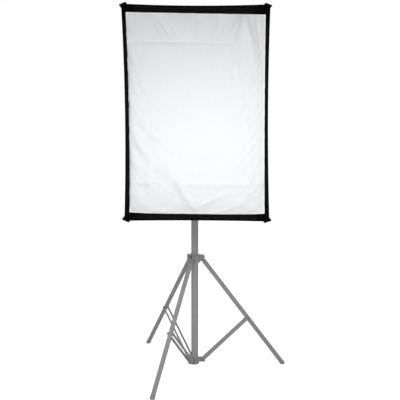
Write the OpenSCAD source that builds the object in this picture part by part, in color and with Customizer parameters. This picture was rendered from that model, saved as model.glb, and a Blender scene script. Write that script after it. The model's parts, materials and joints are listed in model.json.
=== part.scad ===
// Rectangular softbox with a lamp head, carried on a folding three-leg light stand.
// Millimetres. +Z is up and the white front faces -Y. The origin is the centre of the hub's flat underside,
// on the column's axis; the floor under the three feet is floor_gap below it.

/* [Softbox] */
// Width of the front, from corner to corner
front_w = 610; // [450:10:700]
// Height of the front, from corner to corner
front_h = 900; // [700:10:1000]
// Distance from the lamp head's middle to the front
front_depth = 440; // [380:10:480]
// Width of the black hook band round the front
band_w = 38; // [36:1:45]
// How far the middle of each band bows inwards
band_bow = 8; // [0:1:10]
// Black band left showing at each side of the diffuser
side_reveal = 17; // [15:1:22]
// Black band left showing above the diffuser
top_reveal = 34; // [20:1:35]
// Black band left showing below the diffuser
bottom_reveal = 27; // [20:1:35]
// Thickness of the padded fabric panels
fabric_t = 2.5; // [2:0.5:3]
// Thickness of the diffuser and baffle cloth
cloth_t = 1.5; // [1:0.5:1.5]
// Distance from the lamp head's middle to the inner baffle
baffle_depth = 300; // [290:5:320]

/* [Rods] */
// Diameter of the sprung steel rods
rod_d = 4; // [3:0.5:4]
// Distance of a rod's foot from the lamp's axis
rod_foot_r = 65; // [64:1:66]

/* [Stand] */
// Diameter of the base tube
base_tube_d = 35; // [35:1:35]
// Diameter of the middle tube
mid_tube_d = 30; // [30:1:30]
// Diameter of the top tube
top_tube_d = 25; // [25:1:25]
// Length of a leg, from its pivot to its foot
leg_l = 684; // [660:2:700]
// Length of a leg from its pivot to the brace
leg_upper_l = 385; // [380:1:390]
// Length of a brace between its pivots
brace_l = 311; // [308:1:316]
// Lean of a leg from upright
leg_lean = 36.87; // [34:0.1:38]
// Turn of the right-hand leg from +X
leg_turn = 4.13; // [0:0.1:10]
// Height of the lamp's axis
lamp_z = 1247; // [1240:1:1260]

/* [Fittings] */
// Diameter of the stand's stud
stud_d = 16; // [16:1:16]
// Diameter of the umbrella shaft's hole
umbrella_d = 9; // [8:1:9]

/* [Hidden] */
$fn = 64;
slack = 0.05;      // radial clearance of a running fit
gap = 0.3;         // clearance between parts that pass each other

// Stand
floor_gap = 18;
hub_r = 22;
hub_h = 31;
hub_pivot_r = 40;
hub_pivot_z = 20;
collar_r = 26;
collar_pivot_r = 38;
collar_ear_t = 6;
collar_above = 20;                   // height of the leg collar above its pivots
collar_boss = 9;                     // how far the knob's boss stands out of the leg collar
brace_lean = asin((collar_pivot_r + leg_upper_l * sin(leg_lean) - hub_pivot_r) / brace_l);
leg_pivot_z = hub_pivot_z + brace_l * cos(brace_lean) + leg_upper_l * cos(leg_lean);
leg_tube_r = 11;
tongue_w = 12;
pin_r = 3;
bar_w = 13;
bar_t = 3;
bar_y = leg_tube_r + 0.4;            // inner face of a brace bar, from the leg's middle plane
leg_wall = 2.6;
leg_tube_from = 25;                  // distances along a leg from its pivot
leg_tube_to = leg_l - 9;
foot_r = 11.8;
base_tube_z = 3;
base_tube_top = 782;
lock_lower_z = 750;
lock_lower_top = 812;
mid_tube_z = 290;
mid_tube_top = 990;
lock_upper_z = 962;
lock_upper_top = 1012;
top_tube_z = 400;
top_tube_top = 1060;
wall = 1.6;                          // wall of every stand tube
screw_r = 3;

// Bracket
stud_z = top_tube_top;
stud_shoulder = 6;
stud_top = 1124;
socket_z = stud_z + stud_shoulder + 1;
socket_r = 16;
tilt_z = lamp_z - 95;
ear_in = 10.2;
ear_out = 18.2;
ear_r = 14;
tongue_in = 8.9;
bolt_r = 4;
umbrella_x = 27;
umbrella_z = 1092;
umbrella_lug_r = 10;
clamp_z = 1096;
clamp_boss = 6;
arm_screw_x = 17;

// Lamp head, measured along -Y from the lamp head's middle
housing_r = 58;
neck_r = 50;
neck_from = 30;
neck_to = 64;
housing_back = 48;
ring_from = 31;
ring_to = 56;
ring_r = 76;
ring_knob_at = 36.5;
holder_r = 20;
lamp_base_to = 135;
socket_tube_r = 5;
socket_pin_r = 1.5;
rod_from = 4.5;
switch_x = -25;
rocker_pin_r = 1.5;
inlet_x = 19;
screw_turns = [45, 135, 225, 315];
cover_screw_r = housing_r - 11;

// Softbox shell
corner = [front_w / 2, front_h / 2];
rod_corner = corner - [7.5, 9.5];
rod_turn = atan2(rod_corner[1], rod_corner[0]);
rod_foot_at = 46;
shell_back = 64;
rear_half = 96;
skirt_from = 47.5;
skirt_r = 84;
pocket_l = 24;
pocket_mouth = 28;
function half_at(d) =
    let (s = (d - rod_foot_at) / (front_depth - rod_foot_at),
         foot = rod_foot_r * [cos(rod_turn), sin(rod_turn)])
    foot + s * (rod_corner - foot);
rod_run = norm(rod_corner) - rod_foot_r;
rod_angle = atan2(rod_run, front_depth - rod_foot_at);
rod_l = norm([rod_run, front_depth - rod_foot_at]);
rod_signs = [[1, 1], [-1, 1], [1, -1], [-1, -1]];
leg_turns = [leg_turn, leg_turn - 120, leg_turn + 120];

// ---------- shared shapes ----------

// Moves its children to the lamp's axis, d in front of the lamp head's middle, with +Z turned to the front.
module at_lamp(d = 0) translate([0, -d, lamp_z]) rotate([90, 0, 0]) children();

// Lays its children's +Z along +X, centred on x = 0.
module along_x(l) translate([-l / 2, 0, 0]) rotate([0, 90, 0]) children();

// A round tube standing on z = from.
module tube(r_out, r_in, from, to) {
    translate([0, 0, from]) difference() {
        cylinder(r = r_out, h = to - from);
        translate([0, 0, -1]) cylinder(r = r_in, h = to - from + 2);
    }
}

// A flat link with rounded ends, from the origin along +X.
module link_2d(l, w) {
    circle(d = w);
    translate([l, 0]) circle(d = w);
    translate([0, -w / 2]) square([l, w]);
}

// A lobed hand knob on a screw. The screw's tip is at z = 0 and the knob's back is at z = seat.
module hand_knob(seat, r = 11) {
    lobes = 6;
    neck = 5;
    thick = 11;
    cylinder(r = screw_r, h = seat + 4);
    translate([0, 0, seat]) cylinder(r = 0.62 * r, h = neck + 1);
    translate([0, 0, seat + neck]) {
        cylinder(r = r, h = thick);
        for (i = [0 : lobes - 1])
            rotate(i * 360 / lobes) translate([0.93 * r, 0, 0]) cylinder(r = 0.36 * r, h = thick);
        translate([0, 0, thick]) cylinder(r1 = 0.97 * r, r2 = 0.75 * r, h = 2.5);
    }
}

// ---------- column ----------

module base_tube() {
    color("gray") tube(base_tube_d / 2, base_tube_d / 2 - wall, base_tube_z, base_tube_top);
}

module mid_tube() {
    color("gray") tube(mid_tube_d / 2, mid_tube_d / 2 - wall, mid_tube_z, mid_tube_top);
}

module top_tube() {
    color("gray") tube(top_tube_d / 2, top_tube_d / 2 - wall, top_tube_z, top_tube_top);
}

// Plastic guide on the lower end of a sliding tube, running in the tube outside it.
module guide_bush(outer_d, inner_d, z) {
    flange = 4;
    l = 36;
    spigot_r = inner_d / 2 - wall - slack;
    bore_r = outer_d / 2 - wall - 2 * slack;
    translate([0, 0, z]) difference() {
        union() {
            translate([0, 0, -flange]) cylinder(r = bore_r, h = flange);
            cylinder(r = spigot_r, h = l);
        }
        translate([0, 0, -flange - 1]) cylinder(r = spigot_r - 3, h = flange + l + 2);
    }
}

module mid_tube_bush() {
    color("black") guide_bush(base_tube_d, mid_tube_d, mid_tube_z);
}

module top_tube_bush() {
    color("black") guide_bush(mid_tube_d, top_tube_d, top_tube_z);
}

// Clamp that sits on the top of one tube and grips the next.
module lock_collar(from, to, seat_top, below_d, above_d) {
    r = below_d / 2 + 6;
    lip = 5;
    knob_z = (seat_top + to) / 2 + 1;
    boss_r = 8;
    difference() {
        union() {
            translate([0, 0, from]) cylinder(r = r, h = to - from);
            translate([0, 0, from]) cylinder(r = r + 1.5, h = lip);
            translate([0, 0, to - lip]) cylinder(r = r + 1.5, h = lip);
            translate([0, 0, knob_z]) rotate([-90, 0, 0]) cylinder(r = boss_r, h = r + 7);
        }
        translate([0, 0, from - 1]) cylinder(r = below_d / 2 + slack, h = seat_top - from + 1 + slack);
        translate([0, 0, from - 1]) cylinder(r = above_d / 2 + slack, h = to - from + 2);
        translate([0, 0, knob_z]) rotate([-90, 0, 0]) cylinder(r = screw_r + slack, h = 2 * r + 20);
    }
}

// The hand knob of a lock collar.
module lock_knob(to, seat_top, below_d, above_d) {
    knob_z = (seat_top + to) / 2 + 1;
    tip = above_d / 2 + gap;
    translate([0, tip, knob_z]) rotate([-90, 0, 0]) hand_knob(below_d / 2 + 13 + gap - tip);
}

module lower_lock_collar() {
    color("dimgray") lock_collar(lock_lower_z, lock_lower_top, base_tube_top, base_tube_d, mid_tube_d);
}

module lower_lock_knob() {
    color("dimgray") lock_knob(lock_lower_top, base_tube_top, base_tube_d, mid_tube_d);
}

module upper_lock_collar() {
    color("dimgray") lock_collar(lock_upper_z, lock_upper_top, mid_tube_top, mid_tube_d, top_tube_d);
}

module upper_lock_knob() {
    color("dimgray") lock_knob(lock_upper_top, mid_tube_top, mid_tube_d, top_tube_d);
}

module stand_stud() {
    plug = 24;
    groove_from = clamp_z - 9;
    groove_to = clamp_z + 9;
    groove_in = 1.5;
    r = stud_d / 2;
    color("silver") rotate_extrude() polygon([
        [0, stud_z - plug], [top_tube_d / 2 - wall - slack, stud_z - plug],
        [top_tube_d / 2 - wall - slack, stud_z], [top_tube_d / 2, stud_z],
        [top_tube_d / 2, stud_z + stud_shoulder - 1], [top_tube_d / 2 - 1, stud_z + stud_shoulder],
        [r, stud_z + stud_shoulder], [r, groove_from], [r - groove_in, groove_from + groove_in],
        [r - groove_in, groove_to - groove_in], [r, groove_to],
        [r, stud_top - 1.5], [r - 1.5, stud_top], [0, stud_top]
    ]);
}

// ---------- legs ----------

// Lug block of the hub, for one brace.
module hub_lug() {
    w = 2 * (bar_y - 0.2);
    half_h = 10;
    end = hub_pivot_r + 12;
    chamfer = 3;
    difference() {
        translate([0, w / 2, hub_pivot_z]) rotate([90, 0, 0]) linear_extrude(w) polygon([
            [hub_r - 8, -half_h], [end - chamfer, -half_h], [end, chamfer - half_h],
            [end, half_h - chamfer], [end - chamfer, half_h], [hub_r - 8, half_h]
        ]);
        translate([hub_pivot_r, w, hub_pivot_z]) rotate([90, 0, 0]) cylinder(r = pin_r + slack, h = 2 * w);
        translate([0, 0, -1]) cylinder(r = hub_r - 1, h = hub_h + 2);
    }
}

module spreader_hub() {
    color("dimgray") {
        difference() {
            cylinder(r = hub_r, h = hub_h);
            translate([0, 0, base_tube_z]) cylinder(r = base_tube_d / 2 + slack, h = hub_h);
        }
        for (a = leg_turns) rotate(a) hub_lug();
    }
}

// A pin across the leg's plane, with a flat head at each end.
module cross_pin(r, z, half_w) {
    head_t = 2;
    head_r = 5.5;
    translate([r, half_w, z]) rotate([90, 0, 0]) cylinder(r = pin_r, h = 2 * half_w);
    for (s = [-1, 1])
        translate([r, s * (half_w + head_t / 2) + head_t / 2, z]) rotate([90, 0, 0])
            cylinder(r = head_r, h = head_t);
}

module hub_pins() {
    color("silver") for (a = leg_turns) rotate(a) cross_pin(hub_pivot_r, hub_pivot_z, bar_y + bar_t + 0.2);
}

// The two square-cornered ears that hold a leg's end, standing out along +X, up to just below the collar's top.
module leg_collar_ears() {
    half = 11;
    top = collar_above - 1;
    chamfer = 2.5;
    reach = collar_pivot_r - collar_r + 8;
    for (s = [-1, 1]) translate([collar_pivot_r, s * (tongue_w / 2 + gap + collar_ear_t / 2), leg_pivot_z])
        rotate([90, 0, 0]) translate([0, 0, -collar_ear_t / 2]) difference() {
            linear_extrude(collar_ear_t) polygon([
                [-reach, -half], [half - chamfer, -half], [half, chamfer - half],
                [half, top - chamfer], [half - chamfer, top], [-reach, top]
            ]);
            translate([0, 0, -1]) cylinder(r = pin_r + slack, h = collar_ear_t + 2);
        }
}

// Puts its children at the axis of the leg collar's knob, with +Z pointing outwards.
module at_collar_knob() translate([0, 0, leg_pivot_z + 4]) rotate(leg_turn + 70) rotate([0, 90, 0]) children();

module leg_collar() {
    from = leg_pivot_z - 17;
    to = leg_pivot_z + collar_above;
    boss_r = 9;
    color("dimgray") difference() {
        union() {
            translate([0, 0, from]) cylinder(r = collar_r, h = to - from);
            for (a = leg_turns) rotate(a) leg_collar_ears();
            at_collar_knob() cylinder(r = boss_r, h = collar_r + collar_boss);
        }
        translate([0, 0, from - 1]) cylinder(r = base_tube_d / 2 + slack, h = to - from + 2);
        at_collar_knob() cylinder(r = screw_r + slack, h = 2 * collar_r);
    }
}

module leg_collar_pins() {
    color("silver") for (a = leg_turns) rotate(a)
        cross_pin(collar_pivot_r, leg_pivot_z, tongue_w / 2 + gap + collar_ear_t + 0.2);
}

module leg_collar_knob() {
    tip = base_tube_d / 2 + gap;
    seat = collar_r + collar_boss + gap;
    color("dimgray") at_collar_knob() translate([0, 0, tip]) hand_knob(seat - tip, 12.5);
}

// Puts its children at the pivot of the leg at turn a, with +Z running down the leg.
module on_leg(a) {
    rotate(a) translate([collar_pivot_r, 0, leg_pivot_z]) rotate([0, 180 - leg_lean, 0]) children();
}

// Fluted tube of a leg.
module leg(a) {
    flutes = 8;
    flute_r = 1.6;
    l = leg_tube_to - leg_tube_from;
    color("gray") on_leg(a) translate([0, 0, leg_tube_from]) linear_extrude(l) difference() {
        circle(r = leg_tube_r);
        circle(r = leg_tube_r - leg_wall);
        for (i = [0 : flutes - 1])
            rotate((i + 0.5) * 360 / flutes) translate([leg_tube_r + 0.3, 0]) circle(r = flute_r);
    }
}

// Cast end of a leg: an eye for the pivot, and a spigot in the tube.
module leg_tongue(a) {
    eye_r = 9;
    shoulder_z = 14;
    spigot_l = 30;
    color("dimgray") on_leg(a) difference() {
        union() {
            translate([0, tongue_w / 2, 0]) rotate([90, 0, 0]) cylinder(r = eye_r, h = tongue_w);
            translate([-eye_r, -tongue_w / 2, 0]) cube([2 * eye_r, tongue_w, shoulder_z + 3]);
            translate([0, 0, shoulder_z]) cylinder(r = leg_tube_r, h = leg_tube_from - shoulder_z);
            translate([0, 0, leg_tube_from]) cylinder(r = leg_tube_r - leg_wall - slack, h = spigot_l);
        }
        translate([0, tongue_w, 0]) rotate([90, 0, 0]) cylinder(r = pin_r + slack, h = 2 * tongue_w);
    }
}

// Rubber foot: a plug in the leg's end with a head that is cut flat where it stands on the floor.
module leg_foot(a) {
    plug_l = 26;
    end = leg_l + 14;
    bevel = 4;
    big = 200;
    color("gray") intersection() {
        on_leg(a) {
            translate([0, 0, leg_tube_to - plug_l]) cylinder(r = leg_tube_r - leg_wall - slack, h = plug_l + 1);
            rotate_extrude() polygon([
                [0, leg_tube_to + slack], [foot_r - 1, leg_tube_to + slack], [foot_r, leg_tube_to + 1],
                [foot_r, end - bevel], [foot_r - bevel, end], [0, end]
            ]);
        }
        rotate(a) translate([leg_l / 2, -big / 2, -floor_gap]) cube([2 * big, big, big]);
    }
}

module leg_right() leg(leg_turns[0]);
module leg_front() leg(leg_turns[1]);
module leg_rear() leg(leg_turns[2]);
module leg_tongue_right() leg_tongue(leg_turns[0]);
module leg_tongue_front() leg_tongue(leg_turns[1]);
module leg_tongue_rear() leg_tongue(leg_turns[2]);
module foot_right() leg_foot(leg_turns[0]);
module foot_front() leg_foot(leg_turns[1]);
module foot_rear() leg_foot(leg_turns[2]);

// Puts its children at the hub's pivot for the brace at turn a, with +X running up the brace.
module on_brace(a) {
    rotate(a) translate([hub_pivot_r, 0, hub_pivot_z]) rotate([0, brace_lean - 90, 0]) children();
}

// The two flat bars of a brace, one on each side of the leg.
module brace(a) {
    color("gray") on_brace(a) for (s = [-1, 1])
        translate([0, s * (bar_y + bar_t / 2) + bar_t / 2, 0]) rotate([90, 0, 0])
            linear_extrude(bar_t) difference() {
                link_2d(brace_l, bar_w);
                circle(r = pin_r + slack);
            }
}

// Rivet heads where the brace meets the leg.
module brace_rivets(a) {
    head_r = 5.5;
    head_t = 2.5;
    color("silver") on_brace(a) for (s = [-1, 1])
        translate([brace_l, s * (bar_y + bar_t + head_t / 2) + head_t / 2, 0]) rotate([90, 0, 0])
            cylinder(r = head_r, h = head_t);
}

module brace_right() brace(leg_turns[0]);
module brace_front() brace(leg_turns[1]);
module brace_rear() brace(leg_turns[2]);
module brace_rivets_right() brace_rivets(leg_turns[0]);
module brace_rivets_front() brace_rivets(leg_turns[1]);
module brace_rivets_rear() brace_rivets(leg_turns[2]);

// ---------- tilting bracket ----------

// Puts its children on the umbrella hole's axis, with +Z along -Y and the middle at z = 0.
module at_umbrella() translate([umbrella_x, 0, umbrella_z]) rotate([90, 0, 0]) children();

// Socket that fits over the stud, with the umbrella hole's lug and the tilt joint's two ears.
module stand_socket() {
    shoulder_z = tilt_z - ear_r - 2;
    ear_t = ear_out - ear_in;
    lug_l = 1.6 * socket_r;
    color("dimgray") difference() {
        union() {
            translate([0, 0, socket_z]) cylinder(r = socket_r, h = shoulder_z - socket_z);
            translate([0, -lug_l / 2, umbrella_z - umbrella_lug_r])
                cube([umbrella_x, lug_l, 2 * umbrella_lug_r]);
            at_umbrella() translate([0, 0, -lug_l / 2]) cylinder(r = umbrella_lug_r, h = lug_l);
            for (s = [-1, 1]) translate([s * (ear_in + ear_out) / 2, 0, tilt_z]) {
                along_x(ear_t) cylinder(r = ear_r, h = ear_t);
                translate([-ear_t / 2, -ear_r, shoulder_z - tilt_z - 8])
                    cube([ear_t, 2 * ear_r, tilt_z - shoulder_z + 8]);
            }
            translate([-ear_out, -ear_r, shoulder_z - 10]) cube([2 * ear_out, 2 * ear_r, 10]);
            translate([0, 0, clamp_z]) rotate([-90, 0, 0]) cylinder(r = 8, h = socket_r + clamp_boss);
        }
        translate([0, 0, socket_z - 1]) cylinder(r = stud_d / 2 + 0.03, h = stud_top - socket_z + 2);
        at_umbrella() translate([0, 0, -lug_l]) cylinder(r = umbrella_d / 2, h = 2 * lug_l);
        translate([0, 0, clamp_z]) rotate([-90, 0, 0]) cylinder(r = screw_r + slack, h = 60);
        translate([umbrella_x, 0, umbrella_z]) rotate([0, 90, 0]) cylinder(r = screw_r + slack, h = 30);
        translate([0, 0, tilt_z]) along_x(60) cylinder(r = bolt_r + slack, h = 60);
    }
}

module socket_clamp_knob() {
    tip = stud_d / 2 + gap;
    seat = socket_r + clamp_boss + gap;
    color("black") translate([0, tip, clamp_z]) rotate([-90, 0, 0]) hand_knob(seat - tip);
}

module umbrella_clamp_knob() {
    tip = umbrella_d / 2 + gap;
    seat = umbrella_lug_r + gap;
    color("black") translate([umbrella_x + tip, 0, umbrella_z]) rotate([0, 90, 0]) hand_knob(seat - tip, 7);
}

module tilt_bolt() {
    head_t = 6;
    color("silver") translate([0, 0, tilt_z]) {
        translate([-31, 0, 0]) rotate([0, 90, 0]) cylinder(r = bolt_r, h = 31 + ear_out + gap);
        translate([ear_out + gap, 0, 0]) rotate([0, 90, 0]) cylinder(r = 8, h = head_t, $fn = 6);
    }
}

module tilt_washers() {
    t = 1;
    middle = (tongue_in + ear_in) / 2;
    color("black") for (s = [-1, 1]) translate([s * middle, 0, tilt_z]) along_x(t) difference() {
        cylinder(r = 12, h = t);
        translate([0, 0, -1]) cylinder(r = bolt_r + slack, h = t + 2);
    }
}

// Lever that tightens the tilt joint, hanging beside the socket.
module tilt_lever() {
    hub_l = 13;
    arm_l = 62;
    arm_t = 8;
    color("black") translate([-ear_out - gap - hub_l, 0, tilt_z]) rotate([0, 90, 0]) difference() {
        union() {
            cylinder(r = 11, h = hub_l);
            translate([0, 0, 1]) linear_extrude(arm_t) polygon([[0, -8], [arm_l, -5], [arm_l, 5], [0, 8]]);
            translate([arm_l, 0, 1]) cylinder(r = 6.5, h = arm_t);
        }
        translate([0, 0, -1]) cylinder(r = bolt_r + slack, h = hub_l + 2);
    }
}

// Arm that carries the lamp housing: an eye in the tilt joint and a saddle under the housing.
module tilt_arm() {
    saddle = [46, 38, 14];
    color("dimgray") difference() {
        union() {
            translate([0, 0, tilt_z]) along_x(2 * tongue_in) cylinder(r = 13, h = 2 * tongue_in);
            translate([-tongue_in, -13, tilt_z]) cube([2 * tongue_in, 26, 34]);
            translate([-saddle[0] / 2, -saddle[1] / 2, tilt_z + 28]) cube(saddle);
        }
        translate([0, 0, tilt_z]) along_x(60) cylinder(r = bolt_r + slack, h = 60);
        at_lamp(-60) cylinder(r = housing_r + slack, h = 120);
        arm_screw_holes();
    }
}

module arm_screw_holes() {
    for (s = [-1, 1]) translate([s * arm_screw_x, 0, tilt_z]) cylinder(r = 2.1, h = 60);
}

// ---------- lamp head ----------

module lamp_housing() {
    shell_t = 2.5;
    grooves = 5;
    groove_pitch = 6;
    boss = [14, 10, 30];
    color("black") difference() {
        union() {
            difference() {
                union() {
                    at_lamp(-housing_back) cylinder(r = housing_r, h = housing_back + neck_from);
                    at_lamp(neck_from - 1) cylinder(r = neck_r, h = neck_to - neck_from + 1);
                }
                at_lamp(-housing_back - 1) cylinder(r = housing_r - shell_t, h = housing_back + neck_from - 3);
                at_lamp(neck_from + 4) cylinder(r = neck_r - 5, h = neck_to);
            }
            for (a = screw_turns) at_lamp(5 - housing_back) rotate(a)
                translate([housing_r - 1 - boss[0], -boss[1] / 2, 0]) cube(boss);
        }
        at_lamp(0) cylinder(r = holder_r + 0.1, h = neck_to);
        arm_screw_holes();
        for (a = screw_turns) at_lamp(-housing_back) rotate(a)
            translate([cover_screw_r, 0, 0]) cylinder(r = 1.75, h = 25);
        for (i = [0 : grooves - 1]) at_lamp(-14 - groove_pitch * i) housing_groove();
    }
}

// A shallow groove round the housing, left out where the tilt arm's saddle sits.
module housing_groove() {
    difference() {
        cylinder(r = housing_r + 1, h = 2);
        translate([0, 0, -1]) cylinder(r = housing_r - 0.9, h = 4);
        translate([-30, -80, -1]) cube([60, 80, 4]);
    }
}

module rear_cover() {
    t = 5;
    lip = 4.5;
    slot = [3, 20, 10];
    color("black") at_lamp(-housing_back - t - slack) difference() {
        union() {
            cylinder(r1 = housing_r - 3, r2 = housing_r, h = t);
            translate([0, 0, t - 0.5]) cylinder(r = housing_r - 2.6, h = lip + 0.5);
        }
        translate([0, 0, t]) cylinder(r = housing_r - 6, h = lip + 1);
        for (i = [-4 : 4]) for (s = [-1, 1])
            translate([i * 7 - slot[0] / 2, s * 31 - slot[1] / 2, -1]) cube(slot);
        translate([switch_x - 11, -8, -1]) cube([22, 16, t + lip + 2]);
        translate([inlet_x - 14, -10, -1]) cube([28, 20, t + lip + 2]);
        for (a = screw_turns) rotate(a) translate([cover_screw_r, 0, -1]) cylinder(r = 1.8, h = t + lip + 2);
    }
}

// A round-headed screw: the head's top is at z = 0 and the shank runs along +Z.
module round_screw(head_r, head_t, shank_r, l) {
    cylinder(r = head_r, h = head_t);
    cylinder(r = shank_r, h = head_t + l);
}

// The cover's four screws and the two that hold the tilt arm to the housing.
module head_screws() {
    cover_head_t = 2.1;
    arm_head_t = 3;
    color("silver") {
        for (a = screw_turns) at_lamp(-housing_back - 5.1 - cover_head_t) rotate(a)
            translate([cover_screw_r, 0, 0]) round_screw(3.2, cover_head_t, 1.7, 20);
        for (s = [-1, 1]) translate([s * arm_screw_x, 0, tilt_z + 27.8 - arm_head_t])
            round_screw(4, arm_head_t, 2, 15);
    }
}

// Places its children in the switch's opening, with +Z facing the front.
module at_switch(d) at_lamp(-housing_back - d) translate([switch_x, 0, 0]) children();

module switch_frame() {
    color("black") at_switch(7) difference() {
        union() {
            translate([-12.5, -9.5, 0]) cube([25, 19, 1.9]);
            translate([-10.9, -7.9, 1.5]) cube([21.8, 15.8, 14]);
        }
        translate([-9.4, -6, -1]) cube([18.8, 12, 14]);
        translate([0, 7.5, 3]) rotate([90, 0, 0]) cylinder(r = rocker_pin_r + slack, h = 15);
    }
}

// Rocker, pressed in at its right-hand end, with a stub pin at each side that runs in the frame.
module switch_rocker() {
    color("red") at_switch(4) rotate([0, 6, 0]) {
        difference() {
            translate([-8.4, -5.7, -4]) cube([16.8, 11.4, 9]);
            translate([0, 8, -14.6]) rotate([90, 0, 0]) cylinder(r = 12, h = 16);
        }
        translate([0, 7.2, 0]) rotate([90, 0, 0]) cylinder(r = rocker_pin_r, h = 14.4);
    }
}

module mains_inlet() {
    color("black") at_lamp(-housing_back - 7) translate([inlet_x, 0, 0]) {
        difference() {
            union() {
                translate([-16, -12, 0]) cube([32, 24, 1.9]);
                translate([-13.8, -9.8, 1.5]) cube([27.6, 19.6, 18]);
            }
            translate([-12, -8, -1]) cube([24, 16, 17]);
        }
        for (x = [-7, 0, 7]) translate([x - 1, (x == 0 ? 1.5 : -2.5) - 2, 4]) cube([2, 4, 13]);
    }
}

module lamp_holder() {
    color("white") at_lamp(26) difference() {
        union() {
            cylinder(r = holder_r, h = 44);
            translate([0, 0, 8.1]) cylinder(r = holder_r + 6, h = 4);
        }
        translate([0, 0, 14]) cylinder(r = 13.8, h = 40);
    }
}

// Two insulated leads from the inlet's back to the lamp holder.
module lamp_leads() {
    from = -housing_back + 12.8;
    to = 25.8;
    color("saddlebrown") for (s = [-1, 1]) at_lamp(from) translate([inlet_x - 5, s * 4, 0])
        cylinder(r = 1.4, h = to - from);
}

// Screw cap and finned body of the lamp.
module lamp_base() {
    cap_r = 13.3;
    from = 41;
    fins = 16;
    color("whitesmoke") at_lamp(from) difference() {
        rotate_extrude() polygon([
            [0, 0], [9, 0], [cap_r, 4], [cap_r, 30], [16, 31], [16, 34], [22, 36],
            [34, lamp_base_to - from - 6], [34, lamp_base_to - from], [0, lamp_base_to - from]
        ]);
        for (i = [0 : fins - 1]) rotate(i * 360 / fins) translate([33, 0, 40]) rotate([0, 13, 0])
            translate([-3, -1.2, -4]) cube([20, 2.4, 46]);
    }
}

// Hollow opal dome of the lamp.
module lamp_dome() {
    r = 38;
    straight = 46;
    t = 2;
    color("white") at_lamp(lamp_base_to + slack) rotate_extrude() intersection() {
        difference() {
            union() {
                square([r, straight]);
                translate([0, straight]) circle(r = r);
            }
            translate([0, t]) square([r - t, straight - t]);
            translate([0, straight]) circle(r = r - t);
        }
        square([r + 1, straight + r + 1]);
    }
}

// ---------- speed ring and rods ----------

module ring_retainer() {
    color("silver") at_lamp(ring_to + 0.4) difference() {
        cylinder(r = neck_r + 5, h = 4);
        translate([0, 0, -1]) cylinder(r = neck_r + slack, h = 6);
    }
}

// Puts its children on the rod line of the corner at signs s, with +Z running along the rod to the front.
module on_rod(s) {
    turn = atan2(s[1] * sin(rod_turn), s[0] * cos(rod_turn));
    at_lamp(rod_foot_at) rotate(turn) translate([rod_foot_r, 0, 0]) rotate([0, rod_angle, 0]) children();
}

// Cast ring that turns on the housing's neck: a hub, a web and a rim, with a lug for each rod's socket.
module speed_ring() {
    hub_t = 7;
    rim_t = 6;
    web_t = 6;
    knob_boss_r = 7;
    lug = [12, 18, 17];
    bore_r = neck_r + 2 * slack;
    color("silver") difference() {
        union() {
            at_lamp(ring_from) rotate_extrude() polygon([
                [bore_r, 0], [bore_r + hub_t, 0], [bore_r + hub_t, ring_to - ring_from - web_t],
                [ring_r - rim_t, ring_to - ring_from - web_t], [ring_r - rim_t, 4], [ring_r - 1, 4],
                [ring_r, 5], [ring_r, ring_to - ring_from - 1], [ring_r - 1, ring_to - ring_from],
                [bore_r, ring_to - ring_from]
            ]);
            intersection() {
                at_lamp(ring_knob_at) rotate([-90, 0, 0]) translate([0, 0, bore_r + 2])
                    cylinder(r = knob_boss_r, h = ring_r - bore_r - 3);
                at_lamp(ring_from) cylinder(r = ring_r, h = ring_to - ring_from);
            }
            for (s = rod_signs) on_rod(s) translate([-lug[0] / 2, -lug[1] / 2, 0]) cube(lug);
        }
        at_lamp(ring_from - 10) cylinder(r = bore_r, h = 60);
        for (s = rod_signs) on_rod(s) translate([0, 0, -20]) cylinder(r = socket_tube_r + slack, h = 60);
        for (s = rod_signs) on_rod(s) socket_pin_at(20, socket_pin_r + slack);
        at_lamp(ring_knob_at) rotate([-90, 0, 0]) cylinder(r = screw_r + slack, h = 100);
    }
}

module ring_lock_knob() {
    tip = neck_r + gap;
    color("black") at_lamp(ring_knob_at) rotate([-90, 0, 0]) translate([0, 0, tip])
        hand_knob(ring_r + gap - tip, 6);
}

// A cross pin through a rod's lug, half_l to each side.
module socket_pin_at(half_l, r) translate([0, half_l, 0]) rotate([90, 0, 0]) cylinder(r = r, h = 2 * half_l);

// Tubes that take the rods' feet, each held in its lug by a cross pin.
module rod_sockets() {
    floor_z = 4;
    color("gray") for (s = rod_signs) on_rod(s) difference() {
        translate([0, 0, -4]) cylinder(r = socket_tube_r, h = 44);
        translate([0, 0, floor_z]) cylinder(r = rod_d / 2 + slack, h = 60);
        socket_pin_at(20, socket_pin_r + slack);
    }
}

module socket_pins() {
    color("silver") for (s = rod_signs) on_rod(s) socket_pin_at(10, socket_pin_r);
}

module rods() {
    color("silver") for (s = rod_signs) on_rod(s) translate([0, 0, rod_from])
        cylinder(d = rod_d, h = rod_l - 9.5 - rod_from);
}

module rod_tips() {
    r = rod_d / 2 + 1.1;
    color("black") for (s = rod_signs) on_rod(s) translate([0, 0, rod_l - 18]) difference() {
        union() {
            cylinder(r = r, h = 10);
            translate([0, 0, 10]) cylinder(r1 = r, r2 = r - 1.2, h = 3);
        }
        translate([0, 0, -1]) cylinder(r = rod_d / 2 + slack, h = 9.7);
    }
}

// ---------- softbox fabric ----------

// Pocket at each corner that holds a rod's tip: a sleeve that flares to a flat sewn end.
module corner_pockets() {
    flare = 15;
    end_t = 5;
    color("black") for (s = rod_signs) on_rod(s) difference() {
        translate([0, 0, rod_l - pocket_l]) hull() {
            cylinder(r = 5.5, h = 1, $fn = 24);
            translate([-end_t / 2, -pocket_mouth / 2, pocket_l + flare - 1]) cube([end_t, pocket_mouth, 1]);
        }
        translate([0, 0, rod_l - pocket_l - 1]) cylinder(r = rod_d / 2 + 1.4, h = pocket_l - 3);
    }
}

// Room that the panels and bands leave for the pockets.
module pocket_room() {
    w = pocket_mouth + 6;
    for (s = rod_signs) on_rod(s) translate([-30, -w / 2, rod_l - pocket_l - 2]) cube([60, w, 90]);
}

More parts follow.
